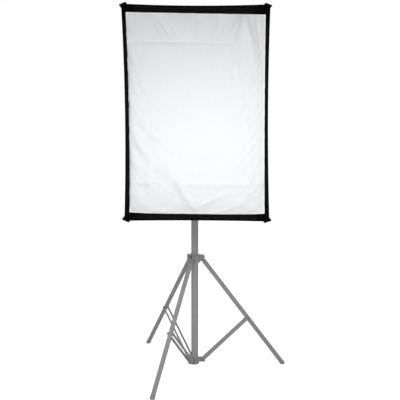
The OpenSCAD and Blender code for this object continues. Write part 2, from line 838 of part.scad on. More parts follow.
// One flat side of the shell. Its inner face runs from half-width b and height back at the rear
// to half-width f and height front at the front, and its side edges stop short of the next panel's.
module shell_panel(b, f, back, front) {
    short = 5;
    edge = 3;
    run = front_depth - shell_back;
    l = norm([front - back, run]);
    f_short = f - (f - b) * short / l;
    translate([0, -shell_back, back]) rotate([atan2(back - front, run), 0, 0]) rotate(180)
        linear_extrude(fabric_t) polygon([
            [-b + edge, 0], [b - edge, 0], [f_short - edge, l - short], [-f_short + edge, l - short]
        ]);
}

module shell_panels() {
    front = corner - [fabric_t + 1, fabric_t + 1];
    color("black") difference() {
        translate([0, 0, lamp_z]) {
            for (a = [0, 180]) rotate([0, a, 0]) shell_panel(rear_half, front[0], rear_half, front[1]);
            for (a = [90, 270]) rotate([0, a, 0]) shell_panel(rear_half, front[1], rear_half, front[0]);
        }
        pocket_room();
    }
}

// Skirt that closes the shell's square rear end in round the speed ring.
module rear_skirt() {
    to = shell_back - gap;
    color("black") difference() {
        skirt_solid(skirt_from, to, skirt_r, rear_half);
        skirt_solid(skirt_from - 1, to + 1, skirt_r - fabric_t, rear_half - fabric_t);
    }
}

module skirt_solid(from, to, r, half) hull() {
    at_lamp(from) cylinder(r = r, h = 0.5, $fn = 48);
    at_lamp(to - 0.5) translate([-half, -half, 0]) cube([2 * half, 2 * half, 0.5]);
}

// Straight-sided band with an outer edge that bows inwards. It runs along x and its outer edge is at y = 0.
module bowed_band(half_l, w, bow) {
    steps = 12;
    outer = [for (i = [0 : steps]) let (u = 2 * i / steps - 1) [u * half_l, -bow * (1 - u * u)]];
    linear_extrude(fabric_t) polygon(concat([[half_l, -w], [-half_l, -w]], outer));
}

module hook_bands() {
    color("black") difference() {
        at_lamp(front_depth) {
            for (a = [0, 180]) rotate(a) translate([0, corner[1], 0]) bowed_band(corner[0], band_w, band_bow);
            for (a = [90, 270]) rotate(a) translate([0, corner[0], 0]) bowed_band(corner[1], band_w, band_bow);
        }
        pocket_room();
    }
}

module inner_baffle() {
    half = half_at(baffle_depth) - [16, 16];
    loop_l = 12;
    color("white") at_lamp(baffle_depth) {
        translate([-half[0], -half[1], 0]) cube([2 * half[0], 2 * half[1], cloth_t]);
        for (s = rod_signs) translate([s[0] * (half[0] + loop_l / 2 - 1), s[1] * (half[1] - 3), cloth_t / 2])
            cube([loop_l, 5, cloth_t], center = true);
    }
}

module front_diffuser() {
    half_w = corner[0] - side_reveal;
    color("white") at_lamp(front_depth + fabric_t + gap)
        translate([-half_w, -corner[1] + bottom_reveal, 0])
            cube([2 * half_w, front_h - top_reveal - bottom_reveal, cloth_t]);
}

base_tube();
spreader_hub();
hub_pins();
lower_lock_collar();
lower_lock_knob();
leg_collar();
leg_collar_pins();
leg_collar_knob();
leg_right();
leg_front();
leg_rear();
leg_tongue_right();
leg_tongue_front();
leg_tongue_rear();
foot_right();
foot_front();
foot_rear();
brace_right();
brace_front();
brace_rear();
brace_rivets_right();
brace_rivets_front();
brace_rivets_rear();
mid_tube();
mid_tube_bush();
upper_lock_collar();
upper_lock_knob();
top_tube();
top_tube_bush();
stand_stud();
stand_socket();
socket_clamp_knob();
umbrella_clamp_knob();
tilt_bolt();
tilt_washers();
tilt_lever();
tilt_arm();
lamp_housing();
rear_cover();
head_screws();
switch_frame();
switch_rocker();
mains_inlet();
lamp_holder();
lamp_leads();
lamp_base();
lamp_dome();
ring_retainer();
speed_ring();
ring_lock_knob();
rod_sockets();
socket_pins();
rods();
rod_tips();
corner_pockets();
shell_panels();
rear_skirt();
hook_bands();
inner_baffle();
front_diffuser();
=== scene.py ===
# Looks for a rectangular softbox on a folding light stand.
# Lengths are in metres, in the part's own frame: +Z is up and the front faces -Y.

import json
import math

import bmesh
import bpy
import numpy as np
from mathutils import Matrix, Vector, noise


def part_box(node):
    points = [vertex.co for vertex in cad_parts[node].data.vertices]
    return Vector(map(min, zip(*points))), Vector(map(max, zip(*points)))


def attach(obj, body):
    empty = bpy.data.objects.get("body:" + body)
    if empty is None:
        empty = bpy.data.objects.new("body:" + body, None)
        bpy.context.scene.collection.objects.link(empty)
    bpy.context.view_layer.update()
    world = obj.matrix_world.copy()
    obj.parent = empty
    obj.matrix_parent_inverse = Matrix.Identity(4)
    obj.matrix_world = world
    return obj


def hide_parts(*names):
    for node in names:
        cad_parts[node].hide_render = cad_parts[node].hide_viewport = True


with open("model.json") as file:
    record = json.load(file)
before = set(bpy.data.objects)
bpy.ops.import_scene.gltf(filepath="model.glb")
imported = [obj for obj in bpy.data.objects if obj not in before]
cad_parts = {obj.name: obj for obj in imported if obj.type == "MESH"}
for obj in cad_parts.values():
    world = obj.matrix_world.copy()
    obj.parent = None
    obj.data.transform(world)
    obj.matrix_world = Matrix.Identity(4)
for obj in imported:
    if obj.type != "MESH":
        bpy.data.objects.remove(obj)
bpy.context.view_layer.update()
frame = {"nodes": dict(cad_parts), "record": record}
scene = bpy.context.scene

# ---------- places, from the frame ----------

MM = 0.001
bands_low, bands_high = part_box("hook_bands")
skirt_low, skirt_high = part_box("rear_skirt")
cloth_low, cloth_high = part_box("front_diffuser")
baffle_low, baffle_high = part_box("inner_baffle")
ring_low, ring_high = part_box("speed_ring")
feet_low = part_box("foot_front")[0]

LAMP_Z = (bands_low.z + bands_high.z) / 2
HALF_W = bands_high.x
HALF_H = (bands_high.z - bands_low.z) / 2
FRONT_Y = bands_high.y
REAR_HALF = skirt_high.x
SHELL_BACK_Y = skirt_low.y
SKIRT_Y = skirt_high.y
RING_R = ring_high.x
FLOOR_Z = feet_low.z

BAND_W = 38 * MM


# ---------- materials ----------

class Nodes:
    """A short way to wire shader nodes."""

    def __init__(self, name):
        self.mat = bpy.data.materials.new(name)
        self.mat.use_nodes = True
        self.tree = self.mat.node_tree
        self.bsdf = self.tree.nodes["Principled BSDF"]
        self.out = self.tree.nodes["Material Output"]

    def add(self, kind, inputs=None, **settings):
        node = self.tree.nodes.new("ShaderNode" + kind)
        for key, value in settings.items():
            setattr(node, key, value)
        for key, value in (inputs or {}).items():
            self.set(node, key, value)
        return node

    def set(self, node, key, value):
        socket = node.inputs[key]
        if isinstance(value, bpy.types.NodeSocket):
            self.tree.links.new(value, socket)
        else:
            socket.default_value = value

    def math(self, operation, a, b=0.0):
        node = self.add("Math", operation=operation)
        self.set(node, 0, a)
        self.set(node, 1, b)
        return node.outputs[0]

    def mix(self, fac, a, b):
        node = self.add("Mix", data_type="RGBA")
        self.set(node, 0, fac)
        self.set(node, 6, a)
        self.set(node, 7, b)
        return node.outputs[2]

    def span(self, value, low, high, from_low=0.0, from_high=1.0):
        node = self.add("MapRange")
        for i, x in enumerate([value, from_low, from_high, low, high]):
            self.set(node, i, x)
        return node.outputs[0]

    def place(self, kind="Object", scale=(1, 1, 1)):
        coord = self.add("TexCoord").outputs[kind]
        return self.add("Mapping", {"Vector": coord, "Scale": scale}).outputs[0]

    def noise(self, vector, scale, detail=3.0, rough=0.55):
        inputs = {"Vector": vector, "Scale": scale, "Detail": detail, "Roughness": rough}
        return self.add("TexNoise", inputs).outputs["Fac"]

    def bump(self, height, distance, normal=None):
        inputs = {"Height": height, "Strength": 1.0, "Distance": distance}
        if normal is not None:
            inputs["Normal"] = normal
        return self.add("Bump", inputs).outputs[0]


def rgba(color, factor=1.0):
    if isinstance(color, (int, float)):
        color = (color, color, color)
    return tuple(min(1.0, c * factor) for c in color) + (1.0,)


def hard(name, color, rough, metallic=0.0, vary=0.08, grain=(900, 900, 900), grain_depth=0.02 * MM,
         edge_wear_and_highlight=0.25, edge_wear_and_highlight_color=0.5, edge=0.5 * MM, coat=0.0, spec=0.5):
    """Metal or moulded plastic: blotchy tone, fine grain, and rounded edges painted lighter, as edge wear
    and, on the grey stand tubes, also as a painted highlight along the flutes.
    """
    n = Nodes(name)
    place = n.place()
    blotch = n.noise(place, 22, 4)
    grain_noise = n.noise(n.place(scale=grain), 1.0, 2)
    rounded = n.add("Bevel", {"Radius": edge}, samples=3).outputs[0]
    geometry = n.add("NewGeometry").outputs["Normal"]
    turn = n.add("VectorMath", {0: rounded, 1: geometry}, operation="DOT_PRODUCT").outputs["Value"]
    edge_mask = n.span(turn, 1.0, 0.0, 0.86, 0.995)
    scuff = n.span(n.noise(place, 140, 4), 0.0, 1.0, 0.46, 0.66)
    # Rounded edges are painted lighter: edge wear, and on the grey tubes also a painted highlight along the
    # flutes.
    worn_and_highlit_edge = n.math("MULTIPLY", n.math("MULTIPLY", edge_mask, scuff), edge_wear_and_highlight)
    tone = n.mix(blotch, rgba(color, 1 - vary), rgba(color, 1 + vary))
    n.set(n.bsdf, "Base Color", n.mix(worn_and_highlit_edge, tone, rgba(edge_wear_and_highlight_color)))
    uneven = n.math("ADD", blotch, grain_noise)
    n.set(n.bsdf, "Roughness", n.span(uneven, rough - 0.09, rough + 0.09, 0.6, 1.4))
    n.set(n.bsdf, "Metallic", metallic)
    n.set(n.bsdf, "Specular IOR Level", spec)
    n.set(n.bsdf, "Coat Weight", coat)
    n.set(n.bsdf, "Normal", n.bump(grain_noise, grain_depth, rounded))
    return n.mat


def woven(name, color, rough, pitch, depth, sheen=0.2, vary=0.1, through=0.0, metallic=0.0, crinkle=0.0,
          spec=0.25):
    """Cloth: a plain weave laid out by the UVs, with slubs, blotches, sheen and light let through."""
    n = Nodes(name)
    uv = n.place("UV", (1 / pitch, 1 / pitch, 1))
    split = n.add("SeparateXYZ", {0: uv})
    warp = n.math("ABSOLUTE", n.math("SINE", n.math("MULTIPLY", split.outputs[0], math.pi)))
    weft = n.math("ABSOLUTE", n.math("SINE", n.math("MULTIPLY", split.outputs[1], math.pi)))
    checker = n.add("TexChecker", {"Vector": uv, "Scale": 1.0}).outputs["Fac"]
    weave = n.add("Mix", {0: checker, 2: warp, 3: weft}, data_type="FLOAT").outputs[0]
    slub = n.noise(n.place("UV", (260, 26, 1)), 1.0, 3)
    soft = n.noise(n.place(), 9, 4)
    tone = n.mix(soft, rgba(color, 1 - vary), rgba(color, 1 + vary))
    gap_tone = n.mix(n.math("MULTIPLY", weave, 0.5), rgba(color, 0.7), tone)
    n.set(n.bsdf, "Base Color", n.mix(0.5, tone, gap_tone))
    n.set(n.bsdf, "Roughness", n.span(slub, rough - 0.08, rough + 0.08))
    n.set(n.bsdf, "Metallic", metallic)
    n.set(n.bsdf, "Specular IOR Level", spec)
    n.set(n.bsdf, "Sheen Weight", sheen)
    n.set(n.bsdf, "Sheen Roughness", 0.4)
    height = n.math("ADD", weave, n.math("MULTIPLY", slub, 0.6))
    normal = n.bump(height, depth)
    if crinkle:
        normal = n.bump(n.noise(n.place(), 60, 5, 0.6), crinkle, normal)
    n.set(n.bsdf, "Normal", normal)
    if through:
        glow = n.add("BsdfTranslucent", {"Color": tone, "Normal": normal})
        mixed = n.add("MixShader", {0: through, 1: n.bsdf.outputs[0], 2: glow.outputs[0]})
        n.tree.links.new(mixed.outputs[0], n.out.inputs["Surface"])
    return n.mat


def hook_tape_material():
    """Hook tape: a close field of stubby hooks."""
    n = Nodes("hook_tape")
    cells = n.add("TexVoronoi", {"Vector": n.place("UV"), "Scale": 900.0})
    hooks = n.span(cells.outputs["Distance"], 1.0, 0.0, 0.0, 0.7)
    soft = n.noise(n.place(), 14, 4)
    n.set(n.bsdf, "Base Color", n.mix(n.math("MULTIPLY", hooks, soft), rgba(0.0016), rgba(0.006)))
    n.set(n.bsdf, "Roughness", n.span(soft, 0.5, 0.75))
    n.set(n.bsdf, "Specular IOR Level", 0.05)
    n.set(n.bsdf, "Sheen Weight", 0.02)
    n.set(n.bsdf, "Normal", n.bump(hooks, 0.35 * MM))
    return n.mat


def opal_material():
    n = Nodes("lamp_opal")
    soft = n.noise(n.place(), 30, 3)
    n.set(n.bsdf, "Base Color", n.mix(soft, rgba((0.88, 0.88, 0.86)), rgba((0.94, 0.94, 0.92))))
    n.set(n.bsdf, "Roughness", n.span(soft, 0.25, 0.4))
    n.set(n.bsdf, "Subsurface Weight", 0.3)
    n.set(n.bsdf, "Subsurface Radius", (0.01, 0.01, 0.008))
    return n.mat


GREY = (0.415, 0.417, 0.42)
M = {
    # The grey tubes' lighter edges are partly edge wear and partly a painted highlight along the flutes.
    "grey_tube": hard("grey_tube", GREY, 0.5, grain=(1400, 1400, 60), edge_wear_and_highlight=0.35, edge_wear_and_highlight_color=0.55, spec=0.2),
    "grey_flat": hard("grey_flat", GREY, 0.5, grain=(500, 500, 500), edge_wear_and_highlight=0.35, edge_wear_and_highlight_color=0.55, spec=0.2),
    "grey_cast": hard("grey_cast", (0.37, 0.373, 0.378), 0.55, grain=(700, 700, 700), spec=0.2,
                      grain_depth=0.06 * MM, edge_wear_and_highlight=0.4, edge_wear_and_highlight_color=0.55, edge=0.9 * MM),
    "black_cast": hard("black_cast", 0.022, 0.5, 0.0, grain=(900, 900, 900), grain_depth=0.05 * MM,
                       edge_wear_and_highlight=0.35, edge_wear_and_highlight_color=0.22, edge=0.8 * MM),
    "pin_steel": hard("pin_steel", 0.3, 0.4, 0.6, grain=(200, 200, 2000), edge_wear_and_highlight=0.2, edge_wear_and_highlight_color=0.5),
    "stud_steel": hard("stud_steel", 0.62, 0.2, 1.0, grain=(300, 300, 3000), edge_wear_and_highlight=0.2, edge_wear_and_highlight_color=0.8),
    "knob_plastic": hard("knob_plastic", 0.022, 0.55, grain=(1600, 1600, 1600), grain_depth=0.05 * MM,
                         edge_wear_and_highlight=0.3, edge_wear_and_highlight_color=0.09, edge=0.9 * MM),
    "stand_plastic": hard("stand_plastic", 0.24, 0.5, grain=(1600, 1600, 1600), grain_depth=0.05 * MM,
                          edge_wear_and_highlight=0.3, edge_wear_and_highlight_color=0.3, edge=0.9 * MM),
    "rubber": hard("rubber", (0.36, 0.363, 0.366), 0.72, grain=(500, 500, 500), grain_depth=0.05 * MM,
                   edge_wear_and_highlight=0.4, edge_wear_and_highlight_color=0.4, edge=1.0 * MM, spec=0.3),
    "bush_plastic": hard("bush_plastic", 0.03, 0.4, edge_wear_and_highlight=0.1, edge_wear_and_highlight_color=0.1),
    "housing_plastic": hard("housing_plastic", 0.02, 0.48, grain=(2400, 2400, 2400), grain_depth=0.05 * MM,
                            edge_wear_and_highlight=0.25, edge_wear_and_highlight_color=0.1, edge=0.7 * MM),
    "switch_red": hard("switch_red", (0.5, 0.012, 0.012), 0.25, vary=0.04, edge_wear_and_highlight=0.1, edge_wear_and_highlight_color=0.6,
                       coat=0.4),
    "inlet_plastic": hard("inlet_plastic", 0.018, 0.35, edge_wear_and_highlight=0.15, edge_wear_and_highlight_color=0.1),
    "lead_pvc": hard("lead_pvc", (0.2, 0.07, 0.025), 0.4, edge_wear_and_highlight=0.0),
    "ceramic": hard("ceramic", (0.78, 0.76, 0.7), 0.22, vary=0.04, edge_wear_and_highlight=0.1, edge_wear_and_highlight_color=0.6, coat=0.5),
    "lamp_body": hard("lamp_body", 0.72, 0.35, vary=0.03, edge_wear_and_highlight=0.1, edge_wear_and_highlight_color=0.6),
    "ring_metal": hard("ring_metal", 0.5, 0.38, 0.9, grain=(600, 600, 600), grain_depth=0.05 * MM,
                       edge_wear_and_highlight=0.3, edge_wear_and_highlight_color=0.75, edge=0.7 * MM),
    "socket_tube": hard("socket_tube", 0.42, 0.3, 0.95, edge_wear_and_highlight=0.2, edge_wear_and_highlight_color=0.7),
    "rod_steel": hard("rod_steel", 0.33, 0.3, 0.95, grain=(2000, 80, 80), edge_wear_and_highlight=0.1, edge_wear_and_highlight_color=0.6),
    "lamp_opal": opal_material(),
    "black_fabric": woven("black_fabric", 0.014, 0.5, 0.55 * MM, 0.06 * MM, sheen=0.12, vary=0.2,
                          crinkle=0.25 * MM),
    "front_fabric": woven("front_fabric", 0.0015, 0.7, 0.6 * MM, 0.1 * MM, sheen=0.006, vary=0.25,
                          spec=0.03, crinkle=0.25 * MM),
    "webbing": woven("webbing", 0.002, 0.6, 1.1 * MM, 0.16 * MM, sheen=0.01, vary=0.25, spec=0.04),
    "silver_lining": woven("silver_lining", 0.62, 0.36, 0.6 * MM, 0.05 * MM, sheen=0.0, vary=0.06,
                           metallic=0.75, crinkle=0.5 * MM),
    "white_cloth": woven("white_cloth", (0.872, 0.876, 0.882), 0.7, 0.4 * MM, 0.02 * MM, sheen=0.1,
                         vary=0.01, through=0.16),
    "white_hem": woven("white_hem", (0.95, 0.953, 0.956), 0.7, 0.6 * MM, 0.05 * MM, sheen=0.15, vary=0.01),
    "thread_black": woven("thread_black", 0.012, 0.5, 0.3 * MM, 0.03 * MM, sheen=0.2),
    "thread_white": woven("thread_white", 0.86, 0.6, 0.3 * MM, 0.03 * MM, sheen=0.2, vary=0.02),
    "elastic": woven("elastic", 0.05, 0.6, 0.9 * MM, 0.12 * MM, sheen=0.2),
    "hook_tape": hook_tape_material(),
}

SLOT_OF = {s["node"]: s["material_slot"] for s in frame["record"]["subparts"]}
for node_name, node_obj in frame["nodes"].items():
    slot_name = SLOT_OF[node_name]
    material = M[slot_name]
    node_obj.data.materials.clear()
    node_obj.data.materials.append(material)


# ---------- mesh helpers ----------

def link_mesh(name, verts, faces, materials, uvs=None, smooth=True):
    mesh = bpy.data.meshes.new(name)
    mesh.from_pydata([tuple(v) for v in verts], [], faces)
    if uvs is not None:
        layer = mesh.uv_layers.new(name="weave")
        corner = np.empty(len(mesh.loops), np.int32)
        mesh.loops.foreach_get("vertex_index", corner)
        layer.data.foreach_set("uv", np.asarray(uvs, np.float32)[corner].ravel())
    for material in materials:
        mesh.materials.append(material)
    mesh.polygons.foreach_set("use_smooth", [smooth] * len(mesh.polygons))
    obj = bpy.data.objects.new(name, mesh)
    scene.collection.objects.link(obj)
    return obj


def points_of(obj):
    co = np.empty(len(obj.data.vertices) * 3)
    obj.data.vertices.foreach_get("co", co)
    return co.reshape(-1, 3)


def set_points(obj, co):
    obj.data.vertices.foreach_set("co", np.asarray(co, np.float32).ravel())
    obj.data.update()


def bake(obj):
    """Applies every modifier to the mesh."""
    graph = bpy.context.evaluated_depsgraph_get()
    shown = obj.evaluated_get(graph)
    mesh = bpy.data.meshes.new_from_object(shown, preserve_all_data_layers=True, depsgraph=graph)
    obj.modifiers.clear()
    obj.data = mesh
    return obj


def sheet(name, point, nu, nv, materials, size, wrap=False):
    """A grid of point(u, v) for u and v from 0 to 1. size is its width and height, for the weave."""
    us = np.linspace(0, 1, nu + 1)
    vs = np.linspace(0, 1, nv + 1)
    columns = nu if wrap else nu + 1
    verts = [point(us[i], v) for v in vs for i in range(columns)]
    uvs = [(us[i] * size[0], v * size[1]) for v in vs for i in range(columns)]
    faces = []
    for j in range(nv):
        for i in range(nu):
            a = j * columns + i
            b = j * columns + (i + 1) % columns
            faces.append((a, b, b + columns, a + columns))
    return link_mesh(name, verts, faces, materials, uvs)


def thicken(obj, thickness, offset=-1.0, inner=0, rim=0, subdivide=0):
    """Gives a sheet its thickness, with another material slot for its inner side, and applies it."""
    solid = obj.modifiers.new("Solid", "SOLIDIFY")
    solid.thickness = thickness
    solid.offset = offset
    solid.use_even_offset = True
    solid.material_offset = inner
    solid.material_offset_rim = rim
    if subdivide:
        sub = obj.modifiers.new("Sub", "SUBSURF")
        sub.levels = sub.render_levels = subdivide
    return bake(obj)


def tube(name, path, radius, material, closed=False, sides=10, flat=1.0):
    """A round cord along a path. flat squashes it towards the direction it is thinnest in."""
    path = [Vector(p) for p in path]
    count = len(path)
    verts, uvs, run = [], [], 0.0
    side = None
    for i, p in enumerate(path):
        ahead = path[(i + 1) % count] if closed or i < count - 1 else p
        behind = path[i - 1] if closed or i > 0 else p
        tangent = (ahead - behind).normalized()
        if side is None:
            side = tangent.orthogonal().normalized()
        side = (side - tangent * side.dot(tangent)).normalized()
        up = tangent.cross(side)
        r = radius(i / (count - 1)) if callable(radius) else radius
        for k in range(sides):
            turn = 2 * math.pi * k / sides
            verts.append(p + side * (r * math.cos(turn)) + up * (r * flat * math.sin(turn)))
            uvs.append((k / sides * 2 * math.pi * r, run))
        run += (ahead - p).length
    faces = []
    for i in range(count if closed else count - 1):
        for k in range(sides):
            a = i * sides + k
            b = i * sides + (k + 1) % sides
            c = ((i + 1) % count) * sides
            faces.append((a, b, c + (k + 1) % sides, c + k))
    if not closed:
        faces.append(tuple(reversed(range(sides))))
        faces.append(tuple(range((count - 1) * sides, count * sides)))
    return link_mesh(name, verts, faces, [material], uvs)


def stitches(name, rows, material, pitch=5 * MM, length=3.4 * MM, width=0.8 * MM, height=0.5 * MM):
    """Rows of sewn stitches. Each row is (points, outward normal at each point)."""
    verts, faces = [], []
    for points, normals in rows:
        points = [Vector(p) for p in points]
        normals = [Vector(n).normalized() for n in normals]
        steps = [(b - a).length for a, b in zip(points, points[1:])]
        total = sum(steps)
        at, i, passed = pitch / 2, 0, 0.0
        while at < total - pitch / 2:
            while passed + steps[i] < at:
                passed += steps[i]
                i += 1
            f = (at - passed) / steps[i]
            centre = points[i].lerp(points[i + 1], f)
            normal = normals[i].lerp(normals[i + 1], f).normalized()
            along = (points[i + 1] - points[i]).normalized()
            across = normal.cross(along).normalized()
            base = len(verts)
            for share, swell in ((-0.5, 0.35), (-0.22, 1.0), (0.22, 1.0), (0.5, 0.35)):
                middle = centre + along * (share * length)
                for x, y in ((-0.5, -0.3), (-0.3, 0.75), (0.3, 0.75), (0.5, -0.3)):
                    verts.append(middle + across * (x * width * swell) + normal * (y * height * swell))
            for ring in range(3):
                for k in range(4):
                    a = base + ring * 4 + k
                    b = base + ring * 4 + (k + 1) % 4
                    faces.append((a, b, b + 4, a + 4))
            faces.append((base + 3, base + 2, base + 1, base))
            faces.append((base + 12, base + 13, base + 14, base + 15))
            at += pitch
    uvs = [(0.0, 0.0)] * len(verts)
    return link_mesh(name, verts, faces, [material], uvs)


def drape(obj, pinned, frames, slack, gravity, cap, stiff=15.0, bend=0.4, push=0.0):
    """Runs cloth on a sheet with the pinned points held. No point ends further than cap from its start."""
    start = points_of(obj)
    group = obj.vertex_groups.new(name="pin")
    group.add([int(i) for i in pinned], 1.0, "REPLACE")
    cloth = obj.modifiers.new("Cloth", "CLOTH")
    s = cloth.settings
    s.quality = 6
    s.mass = 0.12
    s.air_damping = 2.0
    s.tension_stiffness = s.compression_stiffness = s.shear_stiffness = stiff
    s.bending_stiffness = bend
    s.vertex_group_mass = "pin"
    s.shrink_min = -slack
    s.effector_weights.gravity = gravity
    if push:
        s.use_pressure = True
        s.uniform_pressure_force = push
    cloth.collision_settings.use_collision = False
    cloth.point_cache.frame_start = 1
    cloth.point_cache.frame_end = frames
    for f in range(1, frames + 1):
        scene.frame_set(f)
    bake(obj)
    scene.frame_set(1)
    co = points_of(obj)
    move = co - start
    reach = np.linalg.norm(move, axis=1)
    soft = cap * np.tanh(reach / cap)
    co = start + move * (soft / np.maximum(reach, 1e-9))[:, None]
    set_points(obj, co)
    obj.vertex_groups.clear()
    return obj


def ripple(x, y, z, scale, seed=0.0):
    """Smooth noise from -1 to 1."""
    return noise.noise(Vector((x * scale + seed, y * scale - seed, z * scale + 2 * seed)))


def ride(obj, body, slot_name, *nodes):
    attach(obj, body)
    if nodes:
        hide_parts(*nodes)
    return obj


# ---------- softbox outline ----------

# Its corners and sides go clockwise from the top left and from the top, as the front is seen.
CORNERS = [(-1, 1), (1, 1), (1, -1), (-1, -1)]
# The rods push each corner of the fabric out past its nominal place: sideways, and up or down
CORNER_PUSH = [(6.2 * MM, 2.2 * MM), (0.4 * MM, 1.6 * MM), (6.9 * MM, 6.9 * MM), (2.8 * MM, 1.9 * MM)]
# How far the middle of each side bows in
BOWS = [7 * MM, 8 * MM, 3.2 * MM, 9.6 * MM]


def side_inward(k):
    return Vector(((0, 0, -1), (-1, 0, 0), (0, 0, 1), (1, 0, 0))[k])


def front_corner(k, inset=0.0):
    """x and z, from the lamp's axis, of the front's corner k, moved inset towards the middle."""
    sx, sz = CORNERS[k % 4]
    push_x, push_z = CORNER_PUSH[k % 4]
    return sx * (HALF_W + push_x - inset), sz * (HALF_H + push_z - inset)


def outline(u, inset=0.0):
    """x and z of a point on the front's bowed outline, u from 0 to 1 clockwise from the top left."""
    k = int(u * 4) % 4
    t = u * 4 - int(u * 4)
    (ax, az), (bx, bz) = front_corner(k, inset), front_corner(k + 1, inset)
    bow = side_inward(k) * BOWS[k] * 4 * t * (1 - t)
    return ax + (bx - ax) * t + bow.x, az + (bz - az) * t + bow.z


def at_front(x, z, y=0.0):
    """The point at x and z from the lamp's axis and y in front of the front plane."""
    return Vector((x, FRONT_Y - y, LAMP_Z + z))


# ---------- shell ----------

SHELL_EDGE = 1.5 * MM


def shell_corner(k, v):
    """A point on the shell's corner seam k, v from 0 at the rear to 1 at the front."""
    sx, sz = CORNERS[k % 4]
    front_x, front_z = front_corner(k, SHELL_EDGE)
    x = sx * REAR_HALF + (front_x - sx * REAR_HALF) * v
    z = sz * REAR_HALF + (front_z - sz * REAR_HALF) * v
    return Vector((x, SHELL_BACK_Y + (FRONT_Y - SHELL_BACK_Y) * v, LAMP_Z + z))


def shell_panel(k, name):
    nu, nv = 56, 48

    def point(u, v):
        p = shell_corner(k + 1, v).lerp(shell_corner(k, v), u)
        sag = 4 * u * (1 - u)
        hollow = BOWS[k] * sag * v ** 1.5 + 3.5 * MM * sag * math.sin(math.pi * v)
        return p + side_inward(k) * hollow

    size = (2 * (HALF_W if k % 2 == 0 else HALF_H), 0.5)
    panel = sheet(name, point, nu, nv, [M["black_fabric"], M["silver_lining"]], size)
    columns = nu + 1
    pinned = [j * columns + i for j in range(nv + 1) for i in range(columns)
              if i in (0, nu) or j in (0, nv)]
    drape(panel, pinned, 22, 0.004, 1.0, 7 * MM, stiff=18, bend=0.6)
    co = points_of(panel)
    across = np.tile(np.linspace(0, 1, columns), nv + 1)
    along = np.repeat(np.linspace(0, 1, nv + 1), columns)
    fade = np.sin(np.pi * across) ** 0.5 * np.sin(np.pi * along) ** 0.6
    for i, p in enumerate(co):
        rib = ripple(across[i] * 6, along[i] * 1.6, k * 3.0, 1.0, k + 1.0)
        co[i] += np.array(side_inward(k)) * rib * 3.2 * MM * fade[i]
    set_points(panel, co)
    thicken(panel, 1.2 * MM, inner=1)
    return panel


shell = []
for k, panel_name in enumerate(("shell_top", "shell_right", "shell_bottom", "shell_left")):
    shell.append(shell_panel(k, panel_name))
ride(shell[0], "softbox", "black_fabric", "shell_panels")
for piece in shell[1:]:
    ride(piece, "softbox", "black_fabric")


def seam_path(k, lift, steps=40):
    out = Vector((CORNERS[k][0], 0, CORNERS[k][1])).normalized()
    return [shell_corner(k, i / steps) + out * lift for i in range(steps + 1)]


for k in range(4):
    ride(tube(f"seam_binding_{k + 1}", seam_path(k, 0.6 * MM), 2.3 * MM, M["webbing"], flat=0.8),
         "softbox", "black_fabric")

seam_rows = []
for k in range(4):
    for shift in (0, 1):
        panel = (k - shift) % 4
        inward = side_inward(panel)
        toward = shell_corner((k + 1 - 2 * shift) % 4, 0.5) - shell_corner(k, 0.5)
        toward.normalize()
        slope = (shell_corner(k, 1) - shell_corner(k, 0)).normalized()
        normal = slope.cross(toward).normalized()
        if normal.dot(inward) > 0:
            normal = -normal
        beside = toward * 6.5 * MM + normal * 0.5 * MM
        path = [shell_corner(k, v) + beside for v in np.linspace(0.02, 0.96, 30)]
        seam_rows.append((path, [normal] * 30))
ride(stitches("shell_stitching", seam_rows, M["thread_black"]), "softbox", "black_fabric")


# ---------- rear skirt ----------

def rounded_square(turn, half):
    """Distance from the middle to a rounded square at a turn."""
    c, s = abs(math.cos(turn)), abs(math.sin(turn))
    power = 9.0
    return half / (c ** power + s ** power) ** (1 / power)


def rear_skirt():
    nu, nv = 240, 16

    def point(u, v):
        turn = 2 * math.pi * u
        square = rounded_square(turn, REAR_HALF - 0.5 * MM)
        ring = RING_R + 4.5 * MM
        ease = v ** 0.8
        r = ring + (square - ring) * ease
        pleat = math.sin(turn * 34 + 1.3 * math.sin(turn * 3)) * (1 - v) ** 1.2
        r += pleat * 2.0 * MM
        depth = SKIRT_Y + (SHELL_BACK_Y - SKIRT_Y) * v ** 1.15
        depth += -0.8 * MM * math.cos(turn * 34 + 0.5) * (1 - v)
        return Vector((r * math.cos(turn), depth, LAMP_Z + r * math.sin(turn)))

    skirt = sheet("skirt", point, nu, nv, [M["black_fabric"], M["silver_lining"]], (0.55, 0.03), wrap=True)
    thicken(skirt, 1.1 * MM, inner=1)
    return skirt


ride(rear_skirt(), "softbox", "black_fabric", "rear_skirt")


def ring_path(radius, y, count=160, wave=0.0):
    path = []
    for i in range(count):
        turn = 2 * math.pi * i / count
        r = radius + wave * math.sin(turn * 34)
        path.append(Vector((r * math.cos(turn), y, LAMP_Z + r * math.sin(turn))))
    return path


elastic_path = ring_path(RING_R + 4.4 * MM, SKIRT_Y + 0.2 * MM, 320, 1.2 * MM)
ride(tube("skirt_elastic", elastic_path, 2.4 * MM, M["webbing"], closed=True), "softbox", "black_fabric")


def rear_edge():
    """Binding where the skirt joins the shell."""
    path = []
    for i in range(240):
        turn = 2 * math.pi * i / 240
        r = rounded_square(turn, REAR_HALF)
        path.append(Vector((r * math.cos(turn), SHELL_BACK_Y, LAMP_Z + r * math.sin(turn))))
    return tube("rear_binding", path, 2.0 * MM, M["webbing"], closed=True)


ride(rear_edge(), "softbox", "black_fabric")


# ---------- front bands ----------

